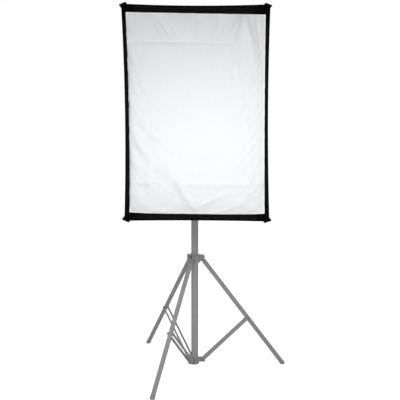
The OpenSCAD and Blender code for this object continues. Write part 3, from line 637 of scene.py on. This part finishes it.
def front_band():
    """The black hook band round the opening, one frame with a mitre at each corner."""
    per_side = 60
    count = 4 * per_side
    across = 8
    verts, uvs = [], []
    for i in range(count):
        u = i / count
        outer = outline(u)
        inner = outline(u, BAND_W)
        for j in range(across + 1):
            w = j / across
            x = outer[0] + (inner[0] - outer[0]) * w
            z = outer[1] + (inner[1] - outer[1]) * w
            wave = 0.5 * MM * ripple(x, z, 0, 14, 4.0) + 0.25 * MM * ripple(x, z, 0, 45, 9.0)
            verts.append(at_front(x, z, 1.2 * MM + wave * math.sin(math.pi * min(1, w + 0.2))))
            uvs.append((u * 3.0, w * BAND_W))
    faces = []
    for i in range(count):
        for j in range(across):
            a = i * (across + 1) + j
            b = ((i + 1) % count) * (across + 1) + j
            faces.append((a, a + 1, b + 1, b))
    band = link_mesh("front_band", verts, faces, [M["front_fabric"]], uvs)
    thicken(band, 1.2 * MM, offset=-1.0)
    return band


ride(front_band(), "softbox", "hook_tape", "hook_bands")


def loop_path(inset, y, per_side=80, wave=0.0):
    path = []
    for i in range(4 * per_side):
        x, z = outline(i / (4 * per_side), inset)
        push = wave * ripple(x, z, 0, 30, 2.0)
        path.append(at_front(x + math.copysign(push, x), z + math.copysign(push, z), y))
    return path


ride(tube("front_piping", loop_path(0.8 * MM, 0.4 * MM), 2.6 * MM, M["webbing"], closed=True, sides=12),
     "softbox", "black_fabric")


def tape_strip(name, k, w, lift):
    """One strip of hook tape along side k of the band."""
    margin = 0.10

    def point(u, v):
        t = margin * 0.6 + (1 - 1.2 * margin) * u
        inset = BAND_W - 3 * MM - w * (1 - v)
        x, z = outline((k + t) / 4 % 1.0, inset)
        wave = 0.3 * MM * ripple(x, z, 0, 22, 6.0)
        return at_front(x, z, lift + wave)

    strip = sheet(name, point, 80, 6, [M["hook_tape"]], (0.6 if k % 2 == 0 else 0.9, w))
    thicken(strip, 0.9 * MM, offset=0.0)
    return strip


TAPE_W = 25 * MM
for k in range(4):
    ride(tape_strip(f"hook_strip_{k + 1}", k, TAPE_W, 1.9 * MM), "softbox", "hook_tape")


def band_rows():
    """Two rows of stitching along each strip of hook tape, and one near the band's outer edge."""
    rows = []
    for k in range(4):
        for inset, lift in ((11.5 * MM, 2.45 * MM), (33.5 * MM, 2.45 * MM), (6.5 * MM, 1.5 * MM)):
            spots = [outline((k + t) / 4, inset) for t in np.linspace(0.07, 0.93, 40)]
            rows.append(([at_front(x, z, lift) for x, z in spots], [(0, -1, 0)] * len(spots)))
    return rows


ride(stitches("band_stitching", band_rows(), M["thread_black"]), "softbox", "hook_tape")


# ---------- corner pockets ----------

# The two ends of each pocket's sewn mouth, out from the fabric's corner: (sideways, up or down) each
POCKET_MOUTHS = [
    ((-18.5, 9.3), (11.5, -3)), ((-21, 8), (9.8, -3.5)),
    ((-21.5, 8.2), (12, -3)), ((-19.5, 9.3), (13.5, -5)),
]
POCKET_L = 30 * MM
MOUTH_L = 3.6 * MM


def pocket_ring(v):
    """Half the width and half the thickness of a pocket at v, from 0 at its back to 1 at its mouth."""
    to_end = (1 - v) * POCKET_L
    round_off = 1 - math.sqrt(max(0.0, 1 - max(0.0, 1 - to_end / MOUTH_L) ** 2))
    half_w = (15 - 0.8 * math.sin(math.pi * min(1.0, v / 0.9))) * MM - 3.2 * MM * round_off
    half_t = (7.0 * (1 - v) ** 0.9 + 2.0) * MM - 0.9 * MM * round_off
    return half_w, half_t


def corner_pocket(index):
    """A flared sleeve over the rod's tip, pinched flat and sewn shut at its mouth."""
    k = index - 1
    sx, sz = CORNERS[k]
    corner_x, corner_z = front_corner(k)
    ends = [at_front(corner_x + sx * a * MM, corner_z + sz * b * MM, 3 * MM) for a, b in POCKET_MOUTHS[k]]
    mouth = (ends[0] + ends[1]) / 2
    mouth_side = (ends[1] - ends[0]).normalized()
    stretch = (ends[1] - ends[0]).length / 2 / pocket_ring(1 - MOUTH_L / POCKET_L)[0]
    axis = (shell_corner(k, 1) - shell_corner(k, 0)).normalized()
    back_side = Vector((sx * HALF_H, 0, -sz * HALF_W)).normalized()
    nu, nv = 48, 30

    def spot(v, x, y):
        side = back_side.lerp(mouth_side, v).normalized()
        face = axis.cross(side).normalized()
        return mouth - axis * (POCKET_L * (1 - v)) + side * x + face * y, face

    def point(u, v):
        v = 1 - (1 - v) ** 1.5
        half_w, half_t = pocket_ring(v)
        c, s = math.cos(2 * math.pi * u), math.sin(2 * math.pi * u)
        power = 0.6 + 0.3 * v
        x = math.copysign(abs(c) ** power, c) * half_w * (1 + (stretch - 1) * v)
        y = math.copysign(abs(s) ** power, s) * half_t
        crease = 0.8 * MM * ripple(x * 1.6, v * 0.02, index, 150, 3.0) * math.sin(math.pi * v) ** 0.7
        return spot(v, x, y + math.copysign(crease, s))[0]

    pocket = sheet(f"corner_pocket_{index}", point, nu, nv, [M["webbing"]], (0.08, POCKET_L), wrap=True)
    cap_ends(pocket, nu)
    rows = []
    for share in (0.72, 0.84):
        half_w, half_t = pocket_ring(share)
        for outer in (1, -1):
            lift = outer * (half_t + 0.1 * MM)
            path = [spot(share, half_w * x, lift) for x in np.linspace(-0.82, 0.82, 9)]
            rows.append(([p for p, face in path], [face * outer for p, face in path]))
    sewn = stitches(f"pocket_stitching_{index}", rows, M["thread_black"], pitch=3.2 * MM, length=2.4 * MM)
    return pocket, sewn


def cap_ends(obj, nu):
    """Closes the first and last rings of a wrapped sheet."""
    bm = bmesh.new()
    bm.from_mesh(obj.data)
    bm.verts.ensure_lookup_table()
    bm.faces.new([bm.verts[i] for i in range(nu)])
    bm.faces.new([bm.verts[len(bm.verts) - nu + i] for i in range(nu)])
    bmesh.ops.recalc_face_normals(bm, faces=bm.faces)
    for face in bm.faces:
        face.smooth = True
    bm.to_mesh(obj.data)
    bm.free()


for index in range(1, 5):
    pocket, sewn = corner_pocket(index)
    if index == 1:
        ride(pocket, "softbox", "black_fabric", "corner_pockets")
    else:
        ride(pocket, "softbox", "black_fabric")
    ride(sewn, "softbox", "black_fabric")


# ---------- diffuser ----------

CLOTH_Y = FRONT_Y - cloth_low.y - 0.6 * MM
# How far in from the nominal corners the cloth's corners are: sideways, and up or down
CLOTH_INSET = [(11 * MM, 31 * MM), (18 * MM, 39.5 * MM), (13 * MM, 26 * MM), (18.5 * MM, 33.5 * MM)]
CLOTH_BOWS = [0.3 * MM, 2.3 * MM, -4 * MM, 5.8 * MM]
CLOTH_CORNERS = [(sx * (HALF_W - dx), sz * (HALF_H - dz))
                 for (sx, sz), (dx, dz) in zip(CORNERS, CLOTH_INSET)]


def between(a, b, f):
    return a + (b - a) * f


def diffuser_edge(s, t):
    """x and z of the diffuser. s runs from -1 at the left to 1, and t from -1 at the foot to 1."""
    top_left, top_right, foot_right, foot_left = CLOTH_CORNERS
    f, g = (s + 1) / 2, (t + 1) / 2
    left = between(foot_left[0], top_left[0], g) + CLOTH_BOWS[3] * (1 - t * t)
    right = between(foot_right[0], top_right[0], g) - CLOTH_BOWS[1] * (1 - t * t)
    foot = between(foot_left[1], foot_right[1], f) + CLOTH_BOWS[2] * (1 - s ** 4)
    top = between(top_left[1], top_right[1], f) - CLOTH_BOWS[0] * (1 - s * s)
    x, z = between(left, right, f), between(foot, top, g)
    wobble = 0.8 * MM
    x += wobble * (1 if s > 0 else 2.4) * ripple(0, z, 3.0 * s, 38, 1.0) * abs(s) ** 6
    z += wobble * ripple(x, 0, 3.0 * t, 26, 2.0) * abs(t) ** 6
    return x, z


# Soft folds of the cloth: from and to as (s, t), then half width and height in mm
FOLDS = [
    ((0.00, -1.00), (-0.62, -0.30), 23, 9.0), ((-0.92, -0.08), (-0.60, -0.36), 13, -5.0),
    ((-0.97, -0.16), (-0.66, -0.50), 12, 6.0), ((-0.96, 0.60), (-0.60, 0.02), 15, 7.0),
    ((-0.96, 0.74), (-0.58, 0.42), 15, -8.0), ((-0.55, 1.00), (-0.22, 0.64), 17, -13.0),
    ((-0.72, 1.00), (-0.44, 0.62), 12, 6.0), ((0.03, 1.00), (0.05, 0.70), 8, -5.5),
    ((-0.12, 1.00), (-0.10, 0.66), 14, 6.0), ((0.64, 1.00), (0.34, 0.44), 18, 11.0),
    ((0.40, 1.00), (0.20, 0.56), 19, -11.0), ((0.70, 1.00), (0.90, 0.38), 15, 6.5),
    ((0.86, 1.00), (0.96, 0.50), 8, -4.0), ((-1.00, 0.40), (-0.80, 0.26), 9, 5.0),
    ((-1.00, 0.24), (-0.80, 0.12), 9, -4.5), ((-1.00, 0.10), (-0.82, 0.00), 8, 4.0),
    ((-1.00, -0.30), (-0.80, -0.44), 9, -3.5), ((-1.00, -0.44), (-0.74, -0.62), 11, 3.5),
    ((0.03, -0.92), (0.55, -0.74), 12, 4.0), ((0.97, -0.86), (0.63, -0.72), 10, 3.5),
    ((0.95, -0.99), (0.50, -0.84), 12, 3.0), ((0.60, -0.62), (0.72, -0.77), 7, 2.4),
    ((-0.50, -0.98), (-0.28, -0.66), 14, -5.0), ((-0.97, -0.97), (-0.66, -0.80), 14, 2.4),
]
# Creases left by storing the cloth folded: level t, height, reach above and below in mm, s from and to
CREASES = [
    (0.715, -6.0, 9, 9, -1.0, 0.6), (0.41, 1.2, 9, 9, -0.6, 0.2), (0.0, -1.2, 9, 9, -0.5, 0.2),
    (-0.37, 1.8, 9, 9, -0.5, 0.0), (-0.69, 8.0, 9, 26, -0.3, 1.0), (-0.69, 3.0, 9, 9, -1.0, -0.5),
    (-0.74, -2.2, 9, 9, -1.0, -0.55),
]


def fold_lines():
    """Each fold as its start, its run, its half width and its height, in metres."""
    lines = []
    for start, end, width, height in FOLDS:
        a, b = Vector(diffuser_edge(*start)), Vector(diffuser_edge(*end))
        lines.append((a, b - a, width * MM, height * MM))
    return lines


def fold_height(p, line):
    """A fold rises fast where it leaves the hem and dies out slowly towards its far end."""
    start, run, width, height = line
    f = (p - start).dot(run) / run.length_squared
    if not 0 < f < 1:
        return 0.0
    off = (p - start).cross(run) / run.length
    spread = width * (0.7 + 0.6 * f)
    return height * math.sin(math.pi * f ** 0.6) * math.exp(-(off / spread) ** 2)


def crease_height(p, s, crease):
    """A crease is sharp along its level and fades in and out at the ends."""
    level, height, above, below, start, end = crease
    begun = min(1.0, max(0.0, (s - start) / 0.15 + (start < -0.99)))
    shown = begun * min(1.0, max(0.0, (end - s) / 0.15 + (end > 0.99)))
    z = diffuser_edge(s, level)[1] + 2.5 * MM * ripple(p.x, 0, 0, 5, level)
    kept = 0.8 + 0.4 * ripple(p.x, level, 0, 7, 3.0)
    reach = (above if p.y > z else below) * MM
    return height * MM * kept * shown * math.exp(-abs(p.y - z) / reach)


def diffuser_relief(x, z, s, t, lines):
    """How far the cloth stands in front of its hem."""
    p = Vector((x, z))
    edge = (1 - abs(s) ** 30) * (1 - abs(t) ** 40)
    relief = 10 * MM * (1 + 0.25 * ripple(0, z, s, 12, 7.0))
    to_left, to_right = (1 + s) * HALF_W, (1 - s) * HALF_W
    to_top, to_foot = (1 - t) * HALF_H, (1 + t) * HALF_H
    for distance, ease in ((to_left, 12), (to_right, 45), (to_top, 40), (to_foot, 30)):
        relief *= 1 - math.exp(-distance / (ease * MM))
    folds = sum(fold_height(p, line) for line in lines)
    creases = sum(crease_height(p, s, crease) for crease in CREASES)
    small = 1.5 * MM * ripple(x, 0, z, 7, 5.0) + 0.25 * MM * ripple(x, 0, z, 30, 6.0)
    return max(0.0, relief + (folds + creases + small) * edge)


def diffuser():
    nu, nv = 130, 240

    def point(u, v):
        return at_front(*diffuser_edge(2 * u - 1, 2 * v - 1), CLOTH_Y)

    cloth = sheet("diffuser", point, nu, nv, [M["white_cloth"]], (2 * HALF_W, 2 * HALF_H))
    columns = nu + 1
    index = np.arange(columns * (nv + 1))
    i, j = index % columns, index // columns
    edge = 2
    pinned = index[(i < edge) | (i > nu - edge) | (j < edge) | (j > nv - edge)]
    drape(cloth, pinned, 20, 0.0015, 0.4, 1.6 * MM, stiff=20, bend=1.5, push=-0.003)
    co = points_of(cloth)
    lines = fold_lines()
    for n, p in enumerate(co):
        s, t = 2 * (n % columns) / nu - 1, 2 * (n // columns) / nv - 1
        co[n][1] -= diffuser_relief(p[0], p[2] - LAMP_Z, s, t, lines)
    set_points(cloth, co)
    thicken(cloth, 0.6 * MM, offset=-1.0)
    return cloth


ride(diffuser(), "diffuser", "white_cloth", "front_diffuser")


HEM_W = 5.5 * MM


def diffuser_hem():
    """The folded hem round the diffuser, a flat rounded strip that stands a little proud."""
    steps = 110
    profile = [(0.0, -0.6), (0.02, 0.7), (0.2, 1.15), (0.6, 1.2), (0.9, 0.9), (1.0, -0.4)]
    shrink_s, shrink_t = 1 - HEM_W / HALF_W, 1 - HEM_W / HALF_H
    verts, uvs, faces = [], [], []
    for k in range(4):
        (s0, t0), (s1, t1) = CORNERS[k], CORNERS[(k + 1) % 4]
        for i in range(steps):
            s, t = between(s0, s1, i / steps), between(t0, t1, i / steps)
            outer = diffuser_edge(s, t)
            inner = diffuser_edge(max(-shrink_s, min(shrink_s, s)), max(-shrink_t, min(shrink_t, t)))
            for share, rise in profile:
                x, z = between(outer[0], inner[0], share), between(outer[1], inner[1], share)
                verts.append(at_front(x, z, CLOTH_Y + (rise - 0.4) * MM))
                uvs.append((len(verts) * 0.001, share * HEM_W))
    count, k = 4 * steps, len(profile)
    for n in range(count):
        for j in range(k - 1):
            a, b = n * k + j, ((n + 1) % count) * k + j
            faces.append((a, a + 1, b + 1, b))
    return link_mesh("diffuser_hem", verts, faces, [M["white_hem"]], uvs)


ride(diffuser_hem(), "diffuser", "white_cloth")


def hem_rows():
    """One row of stitching along each side of the hem."""
    share = 0.72
    reach_s, reach_t = 1 - share * HEM_W / HALF_W, 1 - share * HEM_W / HALF_H
    rows = []
    for k in range(4):
        (s0, t0), (s1, t1) = CORNERS[k], CORNERS[(k + 1) % 4]
        spots = []
        for f in np.linspace(0.0, 1.0, 60):
            spots.append(diffuser_edge(between(s0, s1, f) * reach_s, between(t0, t1, f) * reach_t))
        rows.append(([at_front(x, z, CLOTH_Y + 0.7 * MM) for x, z in spots], [(0, -1, 0)] * len(spots)))
    return rows


ride(stitches("hem_stitching", hem_rows(), M["thread_white"]), "diffuser", "white_cloth")


# ---------- inner baffle ----------

def inner_baffle():
    half_w, half_h = baffle_high.x - 13 * MM, (baffle_high.z - baffle_low.z) / 2 - 4 * MM
    nu, nv = 50, 70

    def point(u, v):
        s, t = 2 * u - 1, 2 * v - 1
        x = s * (half_w - 10 * MM * (1 - t * t))
        z = t * (half_h - 8 * MM * (1 - s * s))
        return Vector((x, baffle_high.y, LAMP_Z + z))

    cloth = sheet("baffle", point, nu, nv, [M["white_cloth"]], (2 * half_w, 2 * half_h))
    columns = nu + 1
    corners = []
    for j in range(nv + 1):
        for i in range(columns):
            if (i < 3 or i > nu - 3) and (j < 3 or j > nv - 3):
                corners.append(j * columns + i)
    drape(cloth, corners, 20, 0.0, 1.0, 12 * MM, stiff=25, bend=0.8)
    co = points_of(cloth).reshape(nv + 1, columns, 3)
    rim = [*co[-1, :-1], *co[:0:-1, -1], *co[0, :0:-1], *co[:-1, 0]]
    thicken(cloth, 0.6 * MM, offset=0.0)
    corner_points = [Vector(co[j, i]) for i, j in ((0, -1), (-1, -1), (-1, 0), (0, 0))]
    return cloth, [Vector(p) for p in rim], corner_points


baffle, baffle_rim, baffle_corners = inner_baffle()
ride(baffle, "softbox", "white_cloth", "inner_baffle")
baffle_hem = tube("baffle_hem", baffle_rim, 2.2 * MM, M["white_hem"], closed=True, flat=0.5)
ride(baffle_hem, "softbox", "white_cloth")


def baffle_elastic(k):
    """A flat elastic from the baffle's corner, where it is sewn down, to the seam of the shell."""
    corner = baffle_corners[k]
    rear, front = shell_corner(k, 0), shell_corner(k, 1)
    anchor = rear.lerp(front, (corner.y - rear.y) / (front.y - rear.y))
    middle = Vector((0, corner.y, LAMP_Z))
    inner = corner.lerp(middle, 0.045)
    lift = 2.2 * MM
    path = []
    for f in np.linspace(0, 1, 9):
        path.append(inner.lerp(anchor, f) - Vector((0, lift * math.cos(math.pi * f / 2), 0)))
    return tube(f"baffle_elastic_{k + 1}", path, 3.5 * MM, M["elastic"], flat=0.35)


for k in range(4):
    ride(baffle_elastic(k), "softbox", "black_fabric")


# ---------- floor, light, camera ----------

def stage_floor():
    """A plain near-white floor that keeps its soft contact shadows."""
    n = Nodes("floor")
    soft = n.noise(n.place(), 1.5, 4)
    seen = n.add("LightPath").outputs["Is Camera Ray"]
    n.set(n.bsdf, "Base Color", n.mix(soft, rgba(0.9), rgba(0.93)))
    n.set(n.bsdf, "Roughness", 0.9)
    n.set(n.bsdf, "Specular IOR Level", 0.0)
    n.set(n.bsdf, "Emission Color", rgba(1.0))
    n.set(n.bsdf, "Emission Strength", n.math("MULTIPLY", seen, 0.75))
    size = 14
    corners = [(sx * size, sz * size, FLOOR_Z) for sx, sz in reversed(CORNERS)]
    floor = link_mesh("floor", corners, [(0, 1, 2, 3)], [n.mat], smooth=False)


def world_light(strength, seen):
    """An even white surround, brighter where the camera sees it than in the light it gives."""
    world = bpy.data.worlds.new("studio")
    scene.world = world
    world.use_nodes = True
    tree = world.node_tree
    tree.nodes.clear()
    path = tree.nodes.new("ShaderNodeLightPath")
    out = tree.nodes.new("ShaderNodeOutputWorld")
    mix = tree.nodes.new("ShaderNodeMixShader")
    for socket, value in ((1, strength), (2, seen)):
        back = tree.nodes.new("ShaderNodeBackground")
        back.inputs["Color"].default_value = (0.985, 0.992, 1.0, 1) if socket == 1 else (1, 1, 1, 1)
        back.inputs["Strength"].default_value = value
        tree.links.new(back.outputs[0], mix.inputs[socket])
    tree.links.new(path.outputs["Is Camera Ray"], mix.inputs[0])
    tree.links.new(mix.outputs[0], out.inputs["Surface"])


def area_light(name, place, target, size, power):
    data = bpy.data.lights.new(name, "AREA")
    data.shape = "RECTANGLE"
    data.size, data.size_y = size
    data.energy = power
    obj = bpy.data.objects.new(name, data)
    scene.collection.objects.link(obj)
    obj.location = place
    obj.rotation_euler = (Vector(target) - Vector(place)).to_track_quat("-Z", "Y").to_euler()
    obj.visible_camera = False


def photo_camera():
    data = bpy.data.cameras.new("camera")
    data.sensor_width = 36
    data.lens = 60.8
    data.shift_x = 0.0132
    obj = bpy.data.objects.new("camera", data)
    scene.collection.objects.link(obj)
    obj.location = (-0.059, -3.313, 1.209)
    obj.rotation_euler = (math.radians(90 - 6.48), 0, math.radians(-1.02))
    scene.camera = obj


stage_floor()
world_light(0.335, 1.0)
area_light("key", (0.08, -1.10, 1.10), (0.08, -0.44, 1.10), (1.2, 0.7), 7.1)
area_light("top", (-0.6, -1.6, 3.4), (0.0, 0.0, 0.9), (2.5, 2.0), 17)
area_light("rear", (-1.8, 2.4, 2.0), (0.0, 0.0, 1.1), (2.0, 1.5), 16)
photo_camera()
scene.view_settings.view_transform = "Standard"
scene.view_settings.look = "None"
scene.cycles.use_denoising = True
